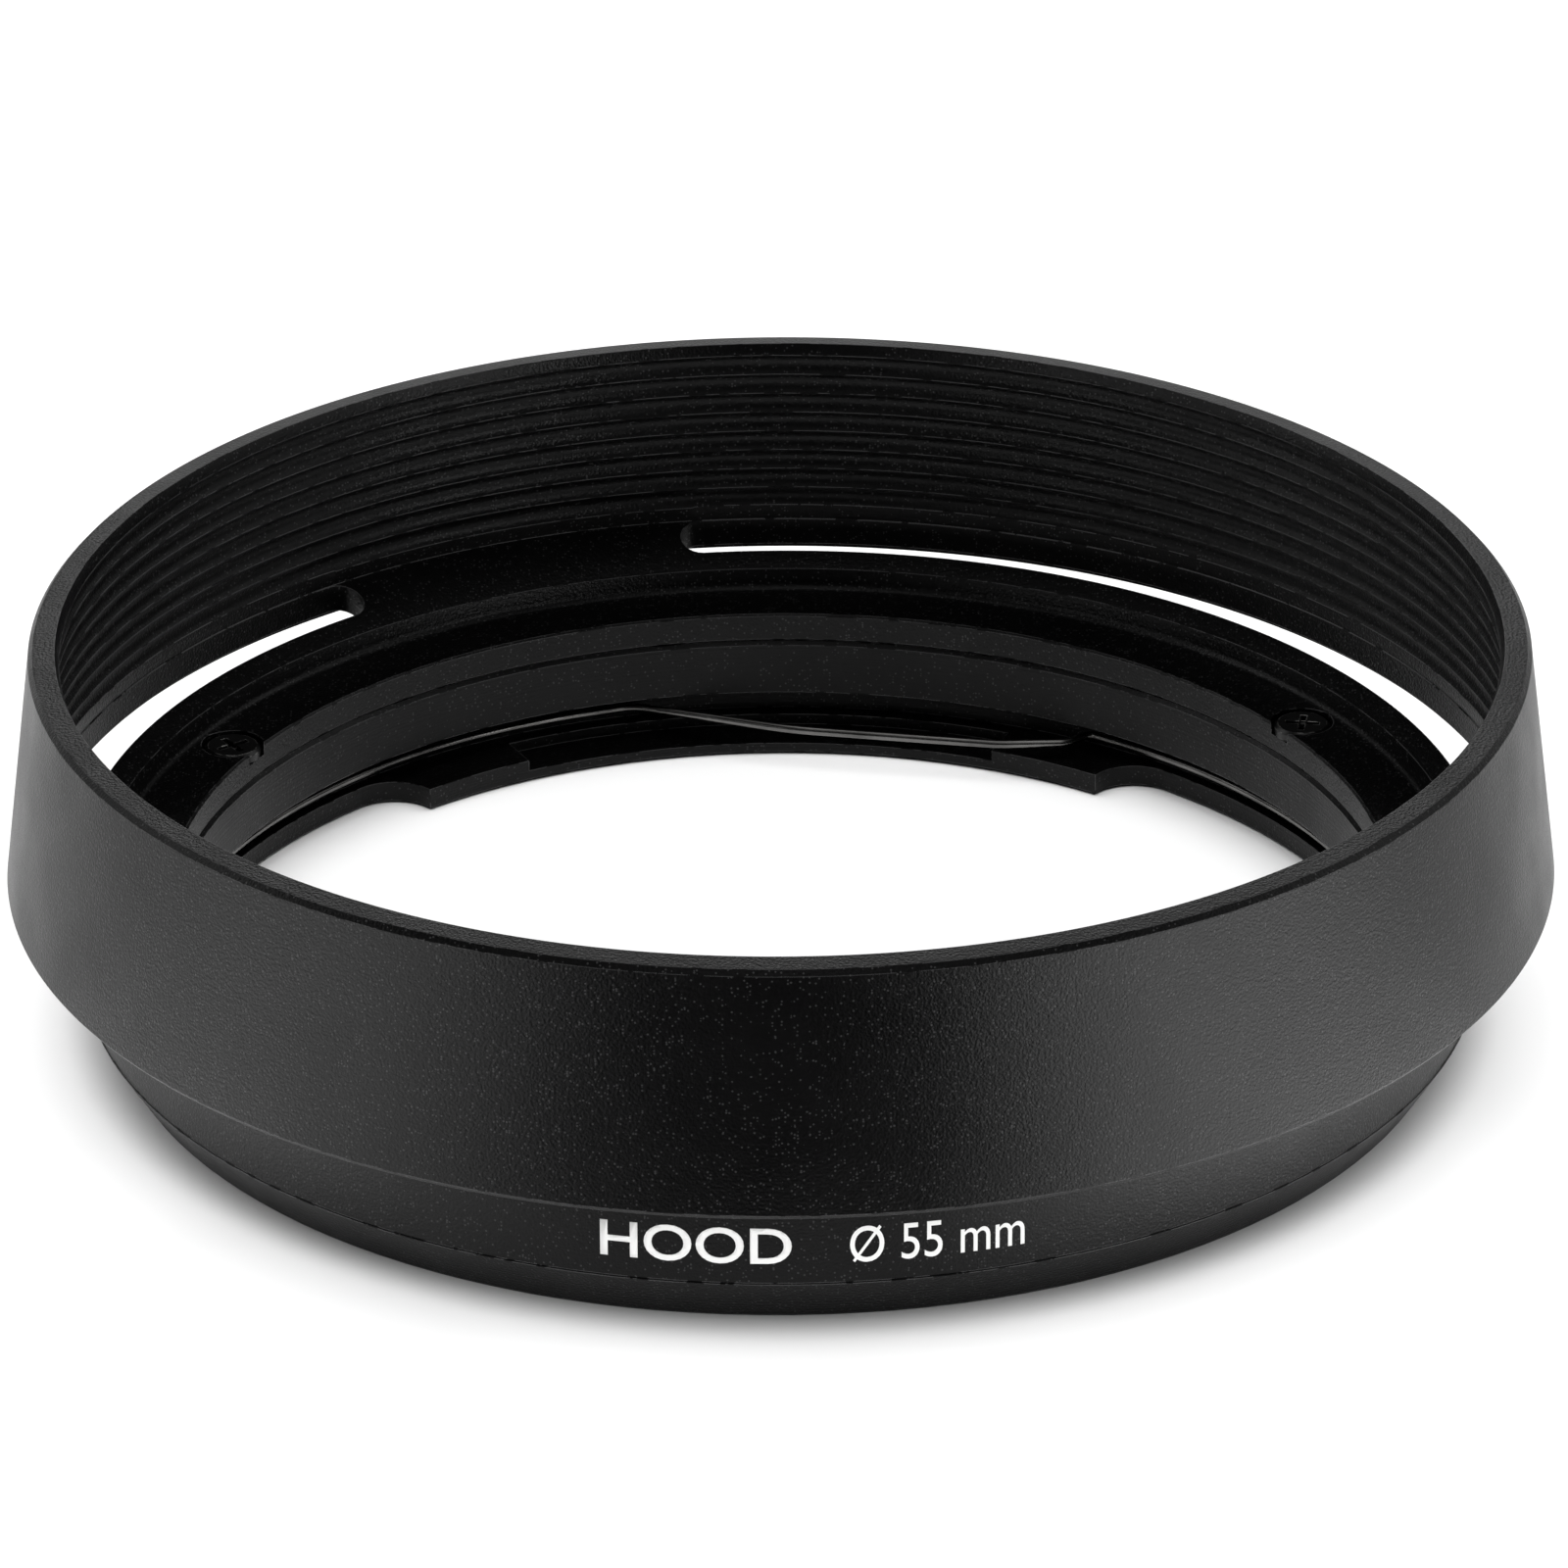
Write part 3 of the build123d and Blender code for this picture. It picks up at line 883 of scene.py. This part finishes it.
def screw_pieces(finish):
    """The fixing screws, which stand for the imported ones."""
    values = {
        "Count": SCREW_COUNT,
        "Circle Radius": SCREW_CIRCLE_RADIUS,
        "First Angle": radians(SCREW_FIRST_ANGLE),
        "Recess Span": RECESS_SPAN,
        "Recess Width": RECESS_WIDTH,
        "Recess Depth": RECESS_DEPTH,
        "Head Top": SCREW_SEAT_HEIGHT + SCREW_HEAD_THICKNESS,
        "Finish": finish,
    }
    screw = turned("one_screw", screw_outline(), ROUND_SIDES, closed=False)
    screws = grow(screw, screw_tree(), values, "floor_screws")
    smooth_between_edges(screws)
    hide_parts("fixing_screws")
    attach(screws, "hood")


# Printed marking


def printed_words(words, start, width, weight):
    """Flat letters as a mesh, from start along X, scaled to a width and the cap height."""
    text = bpy.data.curves.new("words", "FONT")
    text.body = words
    text.size = 1.0
    text.offset = weight
    text.resolution_u = 6
    source = link_object("words", text)
    bpy.context.view_layer.update()
    evaluated = source.evaluated_get(bpy.context.evaluated_depsgraph_get())
    mesh = bpy.data.meshes.new_from_object(evaluated)
    bpy.data.objects.remove(source)
    across = [vertex.co.x for vertex in mesh.vertices]
    tall = [vertex.co.y for vertex in mesh.vertices]
    scale_x = width / (max(across) - min(across))
    scale_y = PRINT_CAP_HEIGHT / (max(tall) - min(tall))
    for vertex in mesh.vertices:
        x = start + (vertex.co.x - min(across)) * scale_x
        y = (vertex.co.y - min(tall)) * scale_y
        vertex.co = (x, y, 0)
    return mesh


def wrap_on_base(meshes, name):
    """One thin printed film, bent round the base wall with its front at -Y."""
    shape = bmesh.new()
    for mesh in meshes:
        shape.from_mesh(mesh)
    bmesh.ops.remove_doubles(shape, verts=shape.verts, dist=MERGE_DISTANCE)
    step = PRINT_STRIP_WIDTH
    low = min(vertex.co.x for vertex in shape.verts)
    high = max(vertex.co.x for vertex in shape.verts)
    for number in range(1, int((high - low) / step) + 1):
        everything = shape.verts[:] + shape.edges[:] + shape.faces[:]
        bmesh.ops.bisect_plane(
            shape, geom=everything, plane_co=(low + number * step, 0, 0), plane_no=(1, 0, 0)
        )
    film = bmesh.ops.extrude_face_region(shape, geom=shape.faces[:])
    for item in film["geom"]:
        if isinstance(item, bmesh.types.BMVert):
            item.co.z = PRINT_THICKNESS
    for vertex in shape.verts:
        angle = vertex.co.x / BASE_RADIUS
        radius = BASE_RADIUS + vertex.co.z
        height = PRINT_BASELINE + vertex.co.y
        vertex.co = (radius * sin(angle), -radius * cos(angle), height)
    bmesh.ops.recalc_face_normals(shape, faces=shape.faces)
    joined = bpy.data.meshes.new(name)
    shape.to_mesh(joined)
    shape.free()
    return link_object(name, joined)


def marking(finish):
    """Plain words that say what the part is and the size it fits."""
    meshes = [printed_words(*settings) for settings in PRINTED_WORDS]
    piece = wrap_on_base(meshes, "size_marking")
    piece.data.materials.append(finish)
    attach(piece, "hood")
    return piece


# Studio


def aim(place, target):
    """Turn that points an object's -Z from its place at a target."""
    return (Vector(target) - Vector(place)).to_track_quat("-Z", "Y").to_euler()


def softbox(name, place, side, power, target=(0, 0, 0.01)):
    """Soft square light aimed at the hood."""
    light = bpy.data.lights.new(name, "AREA")
    light.shape = "SQUARE"
    light.size = side
    light.energy = power
    lamp = link_object(name, light)
    lamp.location = place
    lamp.rotation_euler = aim(place, target)
    return lamp


def floor():
    """Plain pale table top under the hood."""
    half = TABLE_HALF_WIDTH
    mesh = bpy.data.meshes.new("table_top")
    corners = [(-half, -half, 0), (half, -half, 0), (half, half, 0), (-half, half, 0)]
    mesh.from_pydata(corners, [], [(0, 1, 2, 3)])
    top = link_object("table_top", mesh)
    top.data.materials.append(floor_finish())
    return top


def card(name, near_angle, far_angle, near_radius, lift):
    """Fan-shaped card flat on the table, seen only in the hood's reflections."""
    steps = CARD_STEPS
    width = far_angle - near_angle
    spread = [near_angle + width * step / steps for step in range(steps + 1)]
    near = [at_clock(near_radius, 180 - angle, lift) for angle in spread]
    far = [at_clock(CARD_FAR, 180 - angle, lift) for angle in spread]
    mesh = bpy.data.meshes.new(name)
    faces = [(i, i + 1, steps + 2 + i, steps + 1 + i) for i in range(steps)]
    mesh.from_pydata(near + far, [], faces)
    made = link_object(name, mesh)
    made.visible_camera = False
    made.visible_diffuse = False
    made.visible_shadow = False
    return made


def front_angle(tree):
    """Angle of the shaded point away from straight in front, the same on both sides."""
    parts = add_node(tree, "ShaderNodeSeparateXYZ", {"Vector": object_point(tree)})
    side = math_node(tree, "ABSOLUTE", parts.outputs["X"])
    forward = math_node(tree, "MULTIPLY", parts.outputs["Y"], -1.0)
    return math_node(tree, "ARCTAN2", side, forward)


def front_flag():
    """Black card in front, which fades out towards its sides."""
    material, tree, shader = new_material("Black velvet card", Roughness=1.0)
    shader.inputs["Specular IOR Level"].default_value = 0.0
    nap = add_node(
        tree, "ShaderNodeTexNoise", {"Vector": object_point(tree), "Scale": 900.0, "Detail": 3.0}
    )
    tree.links.new(
        two_tone(tree, nap.outputs["Fac"], (0.002, 0.002, 0.002), (0.004, 0.004, 0.004)),
        shader.inputs["Base Color"],
    )
    solid, end = (radians(angle) for angle in FLAG_ANGLES)
    tree.links.new(remap(tree, front_angle(tree), solid, end, 1.0, 0.0), shader.inputs["Alpha"])
    flag = card("front_flag", -FLAG_ANGLES[1], FLAG_ANGLES[1], FLAG_NEAR, FLAG_LIFT)
    flag.data.materials.append(material)


def side_card(name, side, strength, angles):
    """Glowing white card beside the black one, which fades in and out again; its glow is painted light
    that stands in for a lit card, seen only in reflections.
    """
    material, tree, shader = new_material(f"Glowing card {name}", Roughness=1.0)
    shader.inputs["Specular IOR Level"].default_value = 0.0
    # The card glows: painted light in place of a lit white card, seen only in reflections.
    shader.inputs["Emission Strength"].default_value = strength
    weave = add_node(
        tree, "ShaderNodeTexNoise", {"Vector": object_point(tree), "Scale": 60.0, "Detail": 2.0}
    )
    glowing_cloth = two_tone(tree, weave.outputs["Fac"], (1.0, 1.0, 1.0), (0.96, 0.96, 0.96))
    tree.links.new(glowing_cloth, shader.inputs["Emission Color"])
    start, full, fading, end = (radians(angle) for angle in angles)
    angle = front_angle(tree)
    rising = remap(tree, angle, start, full)
    falling = remap(tree, angle, fading, end, 1.0, 0.0)
    tree.links.new(math_node(tree, "MULTIPLY", rising, falling), shader.inputs["Alpha"])
    made = card(name, side * angles[0], side * angles[-1], SIDE_CARD_NEAR, SIDE_CARD_LIFT)
    made.data.materials.append(material)


# Softboxes: clock angle, height angle and power
SOFTBOX_DISTANCE = 0.7
SOFTBOX_SIDE = 0.35
SOFTBOXES = {
    "front_left_box": (-130, 12, 0.9),
    "front_right_box": (130, 12, 1.6),
    "left_box": (-90, 12, 0.7),
    "right_box": (90, 12, 0.4),
    "high_left_box": (-70, 40, 0.6),
    "high_right_box": (70, 40, 0.55),
    "back_left_box": (-45, 15, 0.2),
    "back_right_box": (45, 15, 0.15),
    "back_box": (0, 28, 0.8),
    "front_high_box": (180, 62, 0.3),
    "top_box": (0, 86, 0.5),
}
TABLE_HALF_WIDTH = 1.5
TABLE_LIGHT_PLACE = (0, 0, 1.2)
TABLE_LIGHT_SIDE = 1.6
TABLE_LIGHT_POWER = 21.0
INK_LIGHT_PLACE = (0, -0.6, 0.35)
INK_LIGHT_POWER = 1.6
# Cards on the table: the angles from straight in front at which they fade
CARD_FAR = 0.5
CARD_STEPS = 16
FLAG_NEAR = 0.05
FLAG_LIFT = 0.0006
FLAG_ANGLES = (16, 34)
SIDE_CARD_NEAR = 0.037
SIDE_CARD_LIFT = 0.0003
# Side cards: side, strength, and the angles of start, full strength, fading and end
SIDE_CARDS = {
    "left_card": (-1, 3.0, (20, 52, 58, 88)),
    "right_card": (1, 5.4, (12, 44, 54, 86)),
}
BACKDROP_GLOW = 0.02
CAMERA_PLACE = (0, -0.43276, 0.21978)
CAMERA_TILT = 0.449804
CAMERA_YAW = -0.00037744
CAMERA_ROLL = -0.00421663
CAMERA_LENS = 244.1


def group_of(name, member):
    """Collection with one member, for lights that reach or are shaded by only that."""
    group = bpy.data.collections.new(name)
    group.objects.link(member)
    return group


def lights(table, ring, ink):
    """Softboxes round the hood, a large box for the table and a small one for the ink.

    The table's box is shaded only by the mount ring, which stands on the table.
    """
    for name, (angle, rise, power) in SOFTBOXES.items():
        level = SOFTBOX_DISTANCE * cos(radians(rise))
        place = at_clock(level, angle, SOFTBOX_DISTANCE * sin(radians(rise)))
        softbox(name, place, SOFTBOX_SIDE, power)
    wash = softbox("table_box", TABLE_LIGHT_PLACE, TABLE_LIGHT_SIDE, TABLE_LIGHT_POWER)
    wash.light_linking.receiver_collection = group_of("table_only", table)
    wash.light_linking.blocker_collection = group_of("ring_only", ring)
    ink_light = softbox("ink_box", INK_LIGHT_PLACE, SOFTBOX_SIDE, INK_LIGHT_POWER)
    ink_light.light_linking.receiver_collection = group_of("ink_only", ink)


def backdrop():
    """White to the eye, dark in reflections."""
    world = bpy.data.worlds.new("Studio")
    bpy.context.scene.world = world
    world.use_nodes = True
    tree = world.node_tree
    seen = add_node(tree, "ShaderNodeLightPath").outputs["Is Camera Ray"]
    strength = remap(tree, seen, 0.0, 1.0, BACKDROP_GLOW, 1.0)
    tree.nodes["Background"].inputs["Color"].default_value = (1, 1, 1, 1)
    tree.links.new(strength, tree.nodes["Background"].inputs["Strength"])


def camera():
    """Long lens in front of the marked side, looking down at the hood."""
    lens = bpy.data.cameras.new("front_camera")
    lens.lens = CAMERA_LENS
    lens.sensor_width = 36.0
    lens.clip_start = 0.01
    view = link_object("front_camera", lens)
    turn = Matrix.Rotation(CAMERA_YAW, 4, "Z")
    turn = turn @ Matrix.Rotation(pi / 2 - CAMERA_TILT, 4, "X")
    turn = turn @ Matrix.Rotation(CAMERA_ROLL, 4, "Z")
    view.matrix_world = Matrix.Translation(CAMERA_PLACE) @ turn
    bpy.context.scene.camera = view


def paint(node, finish):
    """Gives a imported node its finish."""
    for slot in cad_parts[node].material_slots:
        slot.material = finish


shade(shade_finish())
paint("mount_ring", mount_finish())
wire_pieces(wire_finish())
screw_pieces(screw_finish())
words = marking(print_finish())
lights(floor(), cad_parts["mount_ring"], words)
front_flag()
for card_name, settings in SIDE_CARDS.items():
    side_card(card_name, *settings)
backdrop()
camera()
bpy.context.scene.view_settings.view_transform = "Standard"
